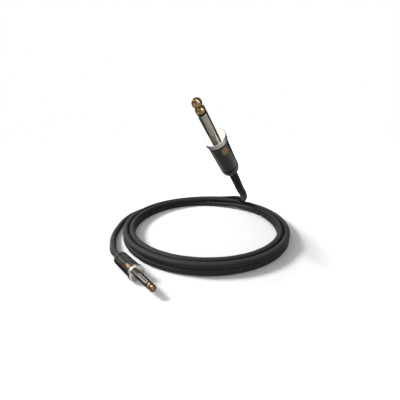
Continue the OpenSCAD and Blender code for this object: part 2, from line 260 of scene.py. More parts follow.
class MaterialGraph(Graph):
    """Builds the node tree of one material."""

    def __init__(self, name: str) -> None:
        """Starts a material with a Principled shader and an output.

        Args:
            name: The material's name.
        """
        self.material = bpy.data.materials.new(name)
        self.material.use_nodes = True
        super().__init__(self.material.node_tree)
        self.shader = self.add("ShaderNodeBsdfPrincipled")
        self.output = self.add("ShaderNodeOutputMaterial", None, {"Surface": self.shader.outputs[0]})

    def finish(self, **sockets: object) -> Material:
        """Sets the shader's sockets.

        Args:
            sockets: Constants or sockets by the socket's name, with underscores for spaces.

        Returns:
            The material.
        """
        for key, value in sockets.items():
            self.put(self.shader.inputs[key.replace("_", " ")], value)
        return self.material


@dataclass(frozen=True)
class TurnedMetal:
    """Bright metal turned on a lathe: fine lines round the axis, faint smears and small stains.

    Attributes:
        name: The material's name.
        colour: Colour of the clean metal.
        stain: Colour of its stains.
        edge: Tint of what it reflects at its edges.
        roughness: Least and most roughness.
        line_depth: Depth of the lines, in metres.
    """

    name: str
    colour: Colour
    stain: Colour
    edge: Colour
    roughness: Range
    line_depth: float = 0.000002

    WOBBLE = 0.02
    LINES = Grain(9000.0, 3.0, 0.6)
    BANDS = Grain(900.0)
    SMEARS = Grain(260.0, 4.0, 0.6)
    STAINING = (0.45, 0.75, 0.0, 0.6)
    BAND_SHARE = 0.6

    def make(self, pose: PlugPose) -> Material:
        """Makes the material for a plug.

        Args:
            pose: The plug.

        Returns:
            The material.
        """
        graph = MaterialGraph(pose.node(self.name))
        rings = graph.turned(pose, self.WOBBLE)
        smears = graph.noise(graph.place(), self.SMEARS)
        bands = graph.maths("MULTIPLY", graph.noise(rings, self.BANDS), self.BAND_SHARE)
        grain = graph.maths("ADD", bands, graph.maths("MULTIPLY", smears, 1.0 - self.BAND_SHARE))
        return graph.finish(
            Base_Color=graph.blend(graph.spread(smears, *self.STAINING), self.colour, self.stain),
            Metallic=1.0,
            Specular_Tint=(*self.edge, 1.0),
            Roughness=graph.spread(grain, *NOISE_SPAN, *self.roughness),
            Normal=graph.bump(graph.noise(rings, self.LINES), self.line_depth),
        )


@dataclass(frozen=True)
class DarkLacquer:
    """Satin black coat over metal: fine lines from the lathe under it and light rub marks on top."""

    name: str
    colour: Colour
    rubbed: Colour
    roughness: Range

    WOBBLE = 0.05
    LINES = Grain(7000.0, 3.0, 0.6)
    LINE_DEPTH = 0.000004
    PATCHES = Grain(180.0, 5.0, 0.6)
    RUBBING = (0.5, 0.75, 0.0, 0.7)
    COAT_IOR = 1.24

    def make(self, pose: PlugPose) -> Material:
        """Makes the material for a plug.

        Args:
            pose: The plug.

        Returns:
            The material.
        """
        graph = MaterialGraph(pose.node(self.name))
        lines = graph.noise(graph.turned(pose, self.WOBBLE), self.LINES)
        patches = graph.noise(graph.place(), self.PATCHES)
        return graph.finish(
            Base_Color=graph.blend(graph.spread(patches, *self.RUBBING), self.colour, self.rubbed),
            Roughness=graph.spread(patches, *NOISE_SPAN, *self.roughness),
            IOR=self.COAT_IOR,
            Normal=graph.bump(lines, self.LINE_DEPTH),
        )


@dataclass(frozen=True)
class Moulded:
    """Plastic, fibre or rubber of the small inner pieces: a fine grain and a mottled tone.

    Attributes:
        name: The material's name.
        colour: Its main colour.
        mottle: Colour of its mottles.
        roughness: Least and most roughness.
        grain: Features of its grain per metre.
        depth: Depth of the grain, in metres.
        shine: Its specular level.
    """

    name: str
    colour: Colour
    mottle: Colour
    roughness: Range
    grain: float
    depth: float
    shine: float = 0.5

    METALLIC = 0.0
    GRAIN_DETAIL = (3.0, 0.6)
    TONES = Grain(400.0, 4.0)
    MOTTLING = (0.35, 0.65, 0.0, 1.0)

    def make(self) -> Material:
        """Makes the material.

        Returns:
            The material.
        """
        graph = MaterialGraph(self.name)
        place = graph.place()
        grain = graph.noise(place, Grain(self.grain, *self.GRAIN_DETAIL))
        mottles = graph.spread(graph.noise(place, self.TONES), *self.MOTTLING)
        return graph.finish(
            Base_Color=graph.blend(mottles, self.colour, self.mottle),
            Metallic=self.METALLIC,
            Roughness=graph.spread(grain, *NOISE_SPAN, *self.roughness),
            Specular_IOR_Level=self.shine,
            Normal=graph.bump(grain, self.depth),
        )


class SmallMetal(Moulded):
    """Sheet metal, strands and solder inside the plugs, with tarnish for mottles."""

    METALLIC = 1.0
    TONES = Grain(700.0, 4.0)
    MOTTLING = (0.4, 0.7, 0.0, 1.0)


@dataclass(frozen=True)
class JacketRubber:
    """Extruded black jacket: faint lines along it, a fine grain, soft waves, dust specks low down, painted
    shade where the cable is off the floor, and a painted top light on the coil's upper side.

    Attributes:
        name: The material's name.
        raised_painted_shade: Darker colour where the cable is off the floor, painted shade.
        low_down: Colour of the jacket low down, on the floor.
        painted_top_light: Paler colour on the upper side of the coil, a painted top light.
        dust: Colour of the dust specks.
        roughness: Least and most roughness.
        shine: Specular level of the raised jacket and of the jacket low down.
        shade_heights: Heights between which the colour low down gives way to the painted shade, in metres.
        top_light_slopes: Upward part of the normal from which the painted top light starts, and at which it
            covers.
    """

    name: str
    raised_painted_shade: Colour
    low_down: Colour
    painted_top_light: Colour
    dust: Colour
    roughness: Range
    shine: Range = (0.1, 0.3)
    shade_heights: Range = (0.0145, 0.0175)
    top_light_slopes: Range = (0.45, 0.9)

    STREAK_SCALE = (90.0, 14.0, 1.0)
    STREAKS = Grain(1.0, 3.0)
    STREAK_DEPTH = 0.00003
    WAVES = Grain(160.0)
    WAVE_DEPTH = 0.0002
    WAVE_STRENGTH = 0.6
    FINE = Grain(5200.0, 3.0, 0.6)
    FINE_DEPTH = 0.000012
    SPECKS = Grain(620.0, 6.0, 0.7)
    SPECKLING = (0.55, 0.8, 0.0, 0.5)
    IOR = 1.15

    def make(self) -> Material:
        """Makes the material, which reads the cord's own UV map: once round, and metres along.

        Returns:
            The material.
        """
        graph = MaterialGraph(self.name)
        place = graph.place()
        uv = graph.add("ShaderNodeUVMap", {"uv_map": CORD_UV}).outputs[0]
        streak_place = graph.add("ShaderNodeMapping", None, {"Vector": uv, "Scale": self.STREAK_SCALE})
        streaks = graph.noise(streak_place.outputs[0], self.STREAKS)
        # Painted shade: above these heights the cable takes a darker colour than the coil on the floor.
        low_down = graph.spread(graph.split(place)[2], *self.shade_heights, 1.0, 0.0)
        # Painted top light: upward faces low down get a paler colour.
        up = graph.split(graph.add("ShaderNodeNewGeometry").outputs["Normal"])[2]
        painted_top_light = graph.maths("MULTIPLY", graph.spread(up, *self.top_light_slopes, 0.0, 1.0), low_down)
        specks = graph.spread(graph.noise(place, self.SPECKS), *self.SPECKLING)
        base = graph.blend(low_down, self.raised_painted_shade, self.low_down)
        base = graph.blend(painted_top_light, base, self.painted_top_light)
        base = graph.blend(graph.maths("MULTIPLY", specks, low_down), base, self.dust)
        relief = graph.bump(streaks, self.STREAK_DEPTH)
        relief = graph.bump(graph.noise(place, self.WAVES), self.WAVE_DEPTH, self.WAVE_STRENGTH, relief)
        relief = graph.bump(graph.noise(place, self.FINE), self.FINE_DEPTH, under=relief)
        return graph.finish(
            Base_Color=base,
            Roughness=graph.spread(streaks, *NOISE_SPAN, *self.roughness),
            IOR=self.IOR,
            Specular_IOR_Level=graph.spread(low_down, 0.0, 1.0, *self.shine),
            Normal=relief,
        )


# ---- Cable ----

CORD_UV = "around_and_along"
TURN = 360.0


@dataclass
class Cable:
    """The whole cable from plug A's solder joints through the coil to plug B's.

    Lengths are in metres and azimuths in degrees, and points are seen from the coil's centre.
    """

    diameter: float = 0.0073
    outer_diameter: float = 0.2293
    side_gap: float = 0.00085
    layer_rise: float = 0.00772
    floor_height: float = 0.00328
    bulge: float = 0.004
    start: float = 125.0
    arc: float = 30.0
    top_step: float = 70.0
    climb_step: float = 55.0
    bottom_step: float = 40.0
    step_arc: float = 100.0
    bulge_arc: float = 160.0
    ring_step: float = 15.0
    sides: int = 32
    spans: int = 5
    smooth_angle: float = 60.0

    BOTTOM_TURNS = (0, 1)  # Turns that step inwards on the floor.
    CLIMB_TURN = 2
    TOP_TURNS = (3, 4)  # Turns that step outwards on top.

    ROUTE_A = (
        (-0.1055, -0.076, 0.0067), (-0.1105, -0.065, 0.0055), (-0.1155, -0.053, 0.0045),
        (-0.12, -0.0395, 0.0038), (-0.123, -0.0255, 0.0035), (-0.1245, -0.011, 0.0033),
        (-0.1255, 0.004, 0.0033), (-0.125, 0.019, 0.0033), (-0.1225, 0.034, 0.0033),
        (-0.1175, 0.0475, 0.0033), (-0.1085, 0.0625, 0.0033), (-0.097, 0.0755, 0.0033),
        (-0.0855, 0.0855, 0.0033),
    )
    ROUTE_B = (
        (0.032, -0.0945, 0.0845), (0.0365, -0.083, 0.0775), (0.04, -0.0695, 0.071),
        (0.0435, -0.055, 0.065), (0.0465, -0.0395, 0.06), (0.0495, -0.0235, 0.055),
        (0.0525, -0.0075, 0.05), (0.0555, 0.009, 0.045), (0.0585, 0.025, 0.0395),
        (0.061, 0.041, 0.0335), (0.0635, 0.0555, 0.0275), (0.065, 0.07, 0.0225),
        (0.0635, 0.0835, 0.0195), (0.0565, 0.0965, 0.0175), (0.044, 0.1065, 0.014),
        (0.029, 0.112, 0.0115), (0.013, 0.114, 0.011),
    )

    def step(self, azimuth: float, centre: float) -> float:
        """Share, from 0 to 1, of a step around a centre that is done at an azimuth."""
        share = min(1.0, max(0.0, (centre + self.step_arc / 2 - azimuth) / self.step_arc))
        return share * share * (3.0 - 2.0 * share)

    def coil_point(self, azimuth: float) -> Vector:
        """Centre of the cable in the coil: in along the floor, up, and out again on top.

        Args:
            azimuth: Where along the coil; it falls by a full turn each time round.

        Returns:
            The point, seen from the coil's centre.
        """
        strands = 1.0
        for turn in self.BOTTOM_TURNS:
            strands -= self.step(azimuth, self.bottom_step - turn * TURN)
        for turn in self.TOP_TURNS:
            strands += self.step(azimuth, self.top_step - turn * TURN)
        climb = self.climb_step - self.CLIMB_TURN * TURN
        swing = (climb + self.bulge_arc / 2 - azimuth) / self.bulge_arc
        inward = self.bulge * math.sin(math.pi * min(1.0, max(0.0, swing))) ** 2
        outer = self.outer_diameter / 2 - self.diameter / 2
        radius = outer + (self.diameter + self.side_gap) * strands - inward
        height = self.floor_height + self.layer_rise * self.step(azimuth, climb)
        angle = math.radians(azimuth)
        return Vector((radius * math.cos(angle), radius * math.sin(angle), height))

    def coil_points(self) -> list[Vector]:
        """Lays out the coil, straight for one diameter at both ends.

        Returns:
            Points along it, seen from its centre.
        """
        end = self.start - self.TOP_TURNS[-1] * TURN - self.arc
        count = round((self.start - end) / self.ring_step)
        turns = [self.coil_point(self.start - i * self.ring_step) for i in range(count + 1)]
        self.coil_in = (self.coil_point(self.start - 1.0) - turns[0]).normalized()
        self.coil_out = (turns[-1] - self.coil_point(end + 1.0)).normalized()
        return [
            turns[0], turns[0] + self.diameter * self.coil_in,
            *turns[1:-1],
            turns[-1] - self.diameter * self.coil_out, turns[-1],
        ]

    def route(self) -> list[Vector]:
        """Lays out the whole cable from plug A to plug B.

        Returns:
            Points along it, in the object's axes.
        """
        coil = self.coil_points()
        lead_a = [Vector(p) for p in self.ROUTE_A]
        lead_b = [Vector(p) for p in reversed(self.ROUTE_B)]
        free = [
            Vector(PLUG_A.tail), Vector(PLUG_A.tail) - self.diameter * PLUG_A.axis, *lead_a,
            coil[0] - self.diameter * self.coil_in, *coil, coil[-1] + self.diameter * self.coil_out,
            *lead_b, Vector(PLUG_B.tail) - self.diameter * PLUG_B.axis, Vector(PLUG_B.tail),
        ]
        free = [COIL_CENTRE + point for point in free]
        inside = (-JACKET_CUT, -(JACKET_CUT + BARREL_END) / 2, -BARREL_END)
        route = [PLUG_A.station(s) for s in inside] + free + [PLUG_B.station(s) for s in reversed(inside)]
        for point in route:
            point.z = max(point.z, self.diameter / 2)
        return route

    def centreline(self) -> list[Vector]:
        """Draws a smooth line through the route's points.

        Returns:
            Points along it, a few to each span.
        """
        data = bpy.data.curves.new("centreline", "CURVE")
        data.dimensions = "3D"
        data.resolution_u = self.spans
        spline = data.splines.new("BEZIER")
        route = self.route()
        spline.bezier_points.add(len(route) - 1)
        for point, place in zip(spline.bezier_points, route):
            point.co = place
            point.handle_left_type = point.handle_right_type = "AUTO"
        helper = added("centreline", data)
        bpy.context.view_layer.update()
        line = [vertex.co.copy() for vertex in helper.to_mesh().vertices]
        helper.to_mesh_clear()
        bpy.data.objects.remove(helper)
        for point in line:
            point.z = max(point.z, self.diameter / 2)
        return line

    def build(self) -> bpy.types.Object:
        """Returns:
            The cord's object.
        """
        line = self.centreline()
        mesh = bmesh.new()
        layer = mesh.loops.layers.uv.new(CORD_UV)
        ring = bmesh.ops.create_circle(mesh, segments=self.sides, radius=self.diameter / 2)["verts"]
        profile = [vertex.co.copy() for vertex in ring]
        ahead = (line[1] - line[0]).normalized()
        frame_turn = Vector((0.0, 0.0, 1.0)).rotation_difference(ahead)
        for vertex, place in zip(ring, profile):
            vertex.co = line[0] + frame_turn @ place
        bmesh.ops.contextual_create(mesh, geom=mesh.edges[:])
        edges = [mesh.edges.get((ring[i], ring[(i + 1) % self.sides])) for i in range(self.sides)]
        along = 0.0
        for i in range(1, len(line)):
            before = ahead
            ahead = (line[min(i + 1, len(line) - 1)] - line[i - 1]).normalized()
            frame_turn = before.rotation_difference(ahead) @ frame_turn
            made = bmesh.ops.extrude_edge_only(mesh, edges=edges)["geom"]
            rise = (line[i] - line[i - 1]).length
            ring = self.next_ring(ring, made)
            for vertex, place in zip(ring, profile):
                vertex.co = line[i] + frame_turn @ place
            edges = [mesh.edges.get((ring[k], ring[(k + 1) % self.sides])) for k in range(self.sides)]
            self.map_faces(made, layer, ring, along, rise)
            along += rise
        bmesh.ops.contextual_create(mesh, geom=edges)
        bmesh.ops.recalc_face_normals(mesh, faces=mesh.faces)
        cord = finished("cable_cord", mesh, self.smooth_angle)
        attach(cord, ROOT_BODY)
        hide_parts("jacket_end_a", "lead_a", "cable_coil", "lead_b", "jacket_end_b")
        return cord

    @staticmethod
    def next_ring(ring: list[Vert], made: list) -> list[Vert]:
        """Orders the vertices of a freshly extruded ring like those of the ring before.

        Args:
            ring: The ring before.
            made: What the extrusion made.

        Returns:
            The new ring's vertices.
        """
        fresh = {item for item in made if isinstance(item, Vert)}
        return [neighbour(vertex, fresh) for vertex in ring]

    def map_faces(self, made: list, layer: bmesh.types.BMLayerItem, ring: list[Vert], along: float,
                  rise: float) -> None:
        """Gives the faces between two rings their place on the cord's map.

        Args:
            made: What the extrusion made.
            layer: The UV layer.
            ring: The new ring.
            along: Distance from the cord's start to the ring before, in metres.
            rise: Distance from there to the new ring.
        """
        index = {vertex: k for k, vertex in enumerate(ring)}
        for face in (item for item in made if isinstance(item, bmesh.types.BMFace)):
            turns = sorted(index[vertex] for vertex in face.verts if vertex in index)
            wraps = turns[1] - turns[0] > 1
            first = turns[1] if wraps else turns[0]
            for loop in face.loops:
                new = loop.vert in index
                partner = loop.vert if new else neighbour(loop.vert, index)
                share = (0 if index[partner] == first else 1) + first
                loop[layer].uv = (share / self.sides, along + (rise if new else 0.0))


# ---- Mesh helpers ----

MERGE = 0.0000005
NEAR = 10 * MERGE
ORIGIN = (0.0, 0.0, 0.0)
PLUG_AXIS = (0.0, 0.0, 1.0)
SMOOTH_ANGLE = 32.0
ROUNDING_STEPS = 3
RIDGE_FOOT = 0.45  # Half the width of a thread's ridge at its foot, in pitches.
RIDGE_TOP = 0.08
THREAD_STEPS = 48
STRAND_STEPS = 24
STRAND_SIDES = 12


def neighbour(vertex: Vert, among: set | dict) -> Vert:
    """The first of a vertex's neighbours that is among some others."""
    return next(other for other in (edge.other_vert(vertex) for edge in vertex.link_edges) if other in among)


def added(name: str, data: bpy.types.ID) -> bpy.types.Object:
    """Adds an object to the scene.

    Args:
        name: Its name.
        data: Its mesh, curve, lamp or camera.

    Returns:
        The object.
    """
    thing = bpy.data.objects.new(name, data)
    bpy.context.scene.collection.objects.link(thing)
    return thing


def finished(name: str, mesh: Mesh, smooth_angle: float = SMOOTH_ANGLE) -> bpy.types.Object:
    """Makes a mesh an object of the scene.

    Args:
        name: The object's name.
        mesh: The mesh, which is used up.
        smooth_angle: Edges sharper than this stay sharp, in degrees.

    Returns:
        The object, at the origin.
    """
    limit = math.radians(smooth_angle)
    for face in mesh.faces:
        face.smooth = True
    for edge in mesh.edges:
        edge.smooth = len(edge.link_faces) == 2 and edge.calc_face_angle(0.0) < limit
    data = bpy.data.meshes.new(name)
    mesh.to_mesh(data)
    mesh.free()
    return added(name, data)


def outline(mesh: Mesh, points: list[Range], closed: bool = False) -> None:
    """Draws part of a turned piece's section, joined to nothing yet.

    Args:
        mesh: The mesh to draw in.
        points: Station along the axis and radius of each corner.
        closed: Whether the last corner joins the first.
    """
    corners = [mesh.verts.new((radius, 0.0, along)) for along, radius in points]
    for first, second in zip(corners, corners[1:] + corners[:1] if closed else corners[1:]):
        mesh.edges.new((first, second))


def outline_arc(mesh: Mesh, centre: float, radius: float, start: float, end: float, steps: int) -> None:
    """Draws an arc of a ball in a turned piece's section.

    Args:
        mesh: The mesh to draw in.
        centre: Station of the ball's centre.
        radius: The ball's radius.
        start: Latitude of the arc's start, in degrees, positive towards the tip.
        end: Latitude of its end.
        steps: Edges in the arc.
    """
    low = math.radians(start)
    corner = mesh.verts.new((radius * math.cos(low), 0.0, centre + radius * math.sin(low)))
    bmesh.ops.spin(
        mesh, geom=[corner], cent=(0.0, 0.0, centre), axis=(0.0, -1.0, 0.0),
        angle=math.radians(end - start), steps=steps,
    )


def turn_round(mesh: Mesh, steps: int) -> None:
    """Turns a section into a solid, with poles and seam closed and faces outwards.

    Args:
        mesh: The mesh that holds the section.
        steps: Faces all the way round.
    """
    bmesh.ops.remove_doubles(mesh, verts=mesh.verts, dist=MERGE)
    bmesh.ops.spin(
        mesh, geom=mesh.verts[:] + mesh.edges[:], cent=ORIGIN, axis=PLUG_AXIS,
        angle=math.tau, steps=steps, use_merge=True,
    )
    bmesh.ops.remove_doubles(mesh, verts=mesh.verts, dist=MERGE)
    bmesh.ops.recalc_face_normals(mesh, faces=mesh.faces)


def round_corners(mesh: Mesh, corners: dict[Range, float]) -> None:
    """Rounds the edges that run round a turned piece.

    Args:
        mesh: The turned piece, on its own axis.
        corners: Rounding of each corner of the section, by its station and radius.
    """
    for (along, radius), size in corners.items():
        circle = {
            vertex for vertex in mesh.verts
            if math.hypot(vertex.co.z - along, math.hypot(vertex.co.x, vertex.co.y) - radius) < NEAR
        }
        bmesh.ops.bevel(
            mesh, geom=[edge for edge in mesh.edges if circle.issuperset(edge.verts)], offset=size,
            offset_type="OFFSET", segments=ROUNDING_STEPS, profile=0.5, affect="EDGES", clamp_overlap=True,
            material=-1,
        )


def screw(mesh: Mesh, corners: list[Vert], edges: list[Edge], turns: float, steps: int, rise: float) -> None:
    """Sweeps a closed section along a helix on the axis, and closes both ends.

    Args:
        mesh: The mesh that holds the section.
        corners: The section's corners.
        edges: Its edges.
        turns: Turns of the helix.
        steps: Steps of the sweep.
        rise: Advance along the axis.
    """
    bmesh.ops.contextual_create(mesh, geom=edges)
    made = bmesh.ops.spin(
        mesh, geom=corners + edges, cent=ORIGIN, axis=PLUG_AXIS,
        angle=math.tau * turns, steps=steps, dvec=(0.0, 0.0, rise / steps),
    )
    last = [item for item in made["geom_last"] if isinstance(item, Edge)]
    bmesh.ops.contextual_create(mesh, geom=last)


def add_thread(mesh: Mesh, root: float, crest: float, start: float, end: float, pitch: float) -> None:
    """Adds the ridge of a right-hand thread to a turned piece.

    Args:
        mesh: The piece, on its own axis.
        root: Radius under the ridge, a little inside the piece.
        crest: Radius of the ridge's top.
        start: Station where the ridge starts.
        end: Station where it ends.
        pitch: Advance of one turn.
    """
    steps = round((end - start) / pitch * THREAD_STEPS)
    ridge = ((root, -RIDGE_FOOT), (crest, -RIDGE_TOP), (crest, RIDGE_TOP), (root, RIDGE_FOOT))
    corners = [mesh.verts.new((radius, 0.0, start + share * pitch)) for radius, share in ridge]
    edges = [mesh.edges.new(pair) for pair in zip(corners, corners[1:] + corners[:1])]
    turns = steps / THREAD_STEPS
    screw(mesh, corners, edges, turns, steps, turns * pitch)
    bmesh.ops.recalc_face_normals(mesh, faces=mesh.faces)


def add_strand(mesh: Mesh, radius: float, aside: float, around: float, start: float, end: float,
               pitch: float) -> None:
    """Adds one wire of a twisted bundle.

    Args:
        mesh: The bundle, on its own axis.
        radius: The wire's radius.
        aside: Distance of the wire from the bundle's axis.
        around: Where the wire starts round the bundle, in radians.
        start: Station where it starts.
        end: Station where it ends.
        pitch: Advance of one turn.
    """
    place = Matrix.Rotation(around, 4, "Z") @ Matrix.Translation((aside, 0.0, start))
    corners = bmesh.ops.create_circle(mesh, segments=STRAND_SIDES, radius=radius, matrix=place)["verts"]
    edges = list({edge for vertex in corners for edge in vertex.link_edges})
    turns = (end - start) / pitch
    screw(mesh, corners, edges, turns, math.ceil(turns * STRAND_STEPS), end - start)


def dress(piece: bpy.types.Object, *materials: Material) -> None:
    """Gives a piece its materials.

    Args:
        piece: A scene piece or a node of the model.
        materials: One for each material slot.
    """
    slots = piece.data.materials
    for index, material in enumerate(materials):
        if index < len(slots):
            slots[index] = material
        else:
            slots.append(material)


# ---- Studio ----

# Card colours: dark for painted dark reflections, a pale glow for painted highlights.
CARD_BLACK = (0.02, 0.02, 0.02, 1.0)
CARD_GLOW = (0.86, 0.94, 1.0, 1.0)


class Rays(Enum):
    """Kinds of ray that see the plain background."""

    CAMERA = "Is Camera Ray"
    GLOSSY = "Is Glossy Ray"
    TRANSMISSION = "Is Transmission Ray"


@dataclass(frozen=True)
class Aim:
    """A place in the studio, as a target sees it, by azimuth and elevation in degrees."""

    azimuth: float
    elevation: float
    distance: float
    target: Vector = COIL_CENTRE

    @property
    def away(self) -> Vector:
        """Direction from the target."""
        azimuth, elevation = math.radians(self.azimuth), math.radians(self.elevation)
        return Vector((
            math.cos(azimuth) * math.cos(elevation),
            math.sin(azimuth) * math.cos(elevation),
            math.sin(elevation),
        ))

    @property
    def matrix(self) -> Matrix:
        """Transform that puts something there, facing the target."""
        turn = self.away.to_track_quat("Z", "Y").to_matrix().to_4x4()
        return Matrix.Translation(self.target + self.distance * self.away) @ turn


@dataclass(frozen=True)
class Lamp:
    """A round soft light, its size in metres and its power in watts."""

    name: str
    aim: Aim
    size: float
    power: float

    def build(self) -> None:
        """Hangs the lamp."""
        data = bpy.data.lights.new(self.name, "AREA")
        data.shape = "DISK"
        data.size = self.size
        data.energy = self.power
        added(self.name, data).matrix_world = self.aim.matrix


@dataclass(frozen=True)
class Card:
    """A card that only reflections see: with a glow it puts a painted highlight in the metal, without one a
    painted dark reflection; it lights nothing and casts no shadow.

    Attributes:
        name: The card's name.
        aim: Where it stands.
        width: Its width, in metres.
        height: Its height.
        glow: Strength of its painted highlight; without any it is dark.
        roll: Turn in its own plane, in degrees.
    """

    name: str
    aim: Aim
    width: float
    height: float
    glow: float = 0.0
    roll: float = 0.0

    def build(self) -> None:
        """Stands the card up."""
        mesh = bmesh.new()
        bmesh.ops.create_grid(mesh, x_segments=1, y_segments=1, size=0.5)
        bmesh.ops.scale(mesh, vec=(self.width, self.height, 1.0), verts=mesh.verts)
        place = self.aim.matrix @ Matrix.Rotation(math.radians(self.roll), 4, "Z")
        bmesh.ops.transform(mesh, matrix=place, verts=mesh.verts)
        card = finished(self.name, mesh)
        dress(card, MaterialGraph(self.name).finish(
            Base_Color=CARD_BLACK, Roughness=1.0, Specular_IOR_Level=0.0,
            Emission_Color=CARD_GLOW, Emission_Strength=self.glow,
        ))
        card.visible_camera = card.visible_diffuse = card.visible_shadow = False


@dataclass
class Studio:
    """Pale floor, soft light and the camera. Lengths are in metres and angles in degrees."""

    camera_place: Triple = (0.03478, -0.16736, 0.1355)
    camera_pitch: float = 17.535
    camera_turn: float = 1.609
    sensor: float = 36.0
    lens: float = 19.53
    floor_size: float = 6.0
    floor_colour: tuple[float, ...] = (0.95, 0.95, 0.95, 1.0)
    floor_roughness: float = 0.9
    floor_lift: float = 0.05
    # Distances from the coil over which the floor's painted glow rises to full white.
    wash_start: float = 0.135
    wash_end: float = 0.27
    sky_light: float = 0.34
    sky_lean: float = 0.8
    lamps: tuple[Lamp, ...] = (
        Lamp("key", Aim(171.5, 38.0, 2.5), size=0.7, power=66.5),
        Lamp("overhead", Aim(172.0, 63.3, 1.6), size=0.8, power=1.8),
    )
    # Painted reflections: glowing cards put painted highlights on the sleeves and tips, dark ones painted
    # dark reflections, and the flat dark card beside plug A darkens the floor in its reflections.
    cards: tuple[Card, ...] = (
        Card("right_card", Aim(45.0, 8.0, 1.4), 1.4, 0.5),
        Card("dark_reflection_sheet", Aim(0.0, -90.0, 0.007, BESIDE_A), 0.09, 0.09),
        Card("front_glow", Aim(-80.0, 20.0, 1.4, SLEEVE_A), 0.6, 1.0, glow=3.0),
        Card("line_glow", Aim(168.5, 25.5, 1.4, SLEEVE_A), 0.25, 0.15, glow=8.0),
        Card("lamp_card", Aim(166.0, 40.0, 0.16, SLEEVE_A), 0.06, 0.056),
        Card("high_card", Aim(143.0, 39.5, 1.4, SLEEVE_A), 0.32, 0.5),
        Card("side_glow", Aim(120.0, 39.0, 1.4, SLEEVE_A), 0.22, 0.3, glow=6.0),
        Card("back_card", Aim(95.0, 18.0, 1.4, SLEEVE_A), 0.3, 0.5),
        Card("ball_glow", Aim(-65.0, 36.0, 0.05, BALL_B), 0.1, 0.012, glow=20.0, roll=-41.5),
        Card("tip_glow", Aim(154.0, 60.0, 0.05, BALL_A), 0.03, 0.03, glow=26.0),
    )

    def background(self, graph: Graph) -> Socket:
        """Adds a value that is 1 for each kind of ray that sees the plain background.

        Args:
            graph: The node tree to add it to.

        Returns:
            The value's socket.
        """
        path = graph.add("ShaderNodeLightPath").outputs
        value = path[Rays.CAMERA.value]
        for ray in (Rays.GLOSSY, Rays.TRANSMISSION):
            value = graph.maths("MAXIMUM", value, path[ray.value])
        return value

    def build_world(self) -> None:
        """Makes the world: white where it is seen, and soft light that leans towards the front."""
        world = bpy.data.worlds.new("studio")
        world.use_nodes = True
        graph = Graph(world.node_tree)
        back = graph.split(graph.add("ShaderNodeTexCoord").outputs["Generated"])[1]
        sky = graph.maths("MULTIPLY_ADD", back, -self.sky_lean * self.sky_light, self.sky_light)
        mix = graph.add("ShaderNodeMixShader", None, {0: self.background(graph)})
        for index, strength in ((1, sky), (2, 1.0)):
            light = graph.add("ShaderNodeBackground", None, {"Color": WHITE, "Strength": strength})
            graph.put(mix.inputs[index], light.outputs[0])
        graph.add("ShaderNodeOutputWorld", None, {"Surface": mix.outputs[0]})
        bpy.context.scene.world = world

    def build_floor(self) -> None:
        """Makes the floor, which keeps the object's shadow near the coil; farther off a painted glow washes
        the shadows out.
        """
        mesh = bmesh.new()
        bmesh.ops.create_grid(mesh, x_segments=1, y_segments=1, size=self.floor_size / 2)
        floor = finished("floor", mesh)
        graph = MaterialGraph("floor_white")
        dress(floor, graph.finish(
            Base_Color=self.floor_colour, Roughness=self.floor_roughness, Specular_IOR_Level=0.0,
        ))
        inputs = {0: graph.place(), 1: COIL_CENTRE}
        away = graph.add("ShaderNodeVectorMath", {"operation": "DISTANCE"}, inputs).outputs["Value"]
        # Painted light: the floor's own glow rises with distance from the coil to full white, washing out the
        # far shadows of the raised lead and plug B.
        shadow_wash = graph.spread(away, self.wash_start, self.wash_end, self.floor_lift, 1.0)
        glow = graph.add("ShaderNodeEmission", None, {"Strength": shadow_wash})
        seen = graph.add("ShaderNodeMixShader", None, {0: self.background(graph), 2: glow.outputs[0]})
        both = graph.add("ShaderNodeAddShader", None, {0: graph.shader.outputs[0], 1: seen.outputs[0]})
        graph.put(graph.output.inputs["Surface"], both.outputs[0])

    def build_camera(self) -> None:
        """Sets up the camera."""
        data = bpy.data.cameras.new("camera")
        data.sensor_width = self.sensor
        data.lens = self.lens
        camera = added("camera", data)
        camera.location = self.camera_place
        camera.rotation_euler = (math.radians(90.0 - self.camera_pitch), 0.0, math.radians(self.camera_turn))
        bpy.context.scene.camera = camera

    def build(self) -> None:
        """Builds the camera, the floor and the lights."""
        self.build_camera()
        self.build_world()
        self.build_floor()
        for item in self.lamps + self.cards:
            item.build()
        bpy.context.scene.view_settings.view_transform = "Standard"


# ---- Plugs ----


class BodySlot(IntEnum):
    """Material slots of a plug's body: its bar, its flange's face, which is the same steel painted paler as a
    painted reflection, and the flange's rim.
    """

    STEEL = 0
    LIT_FACE = 1
    RIM = 2


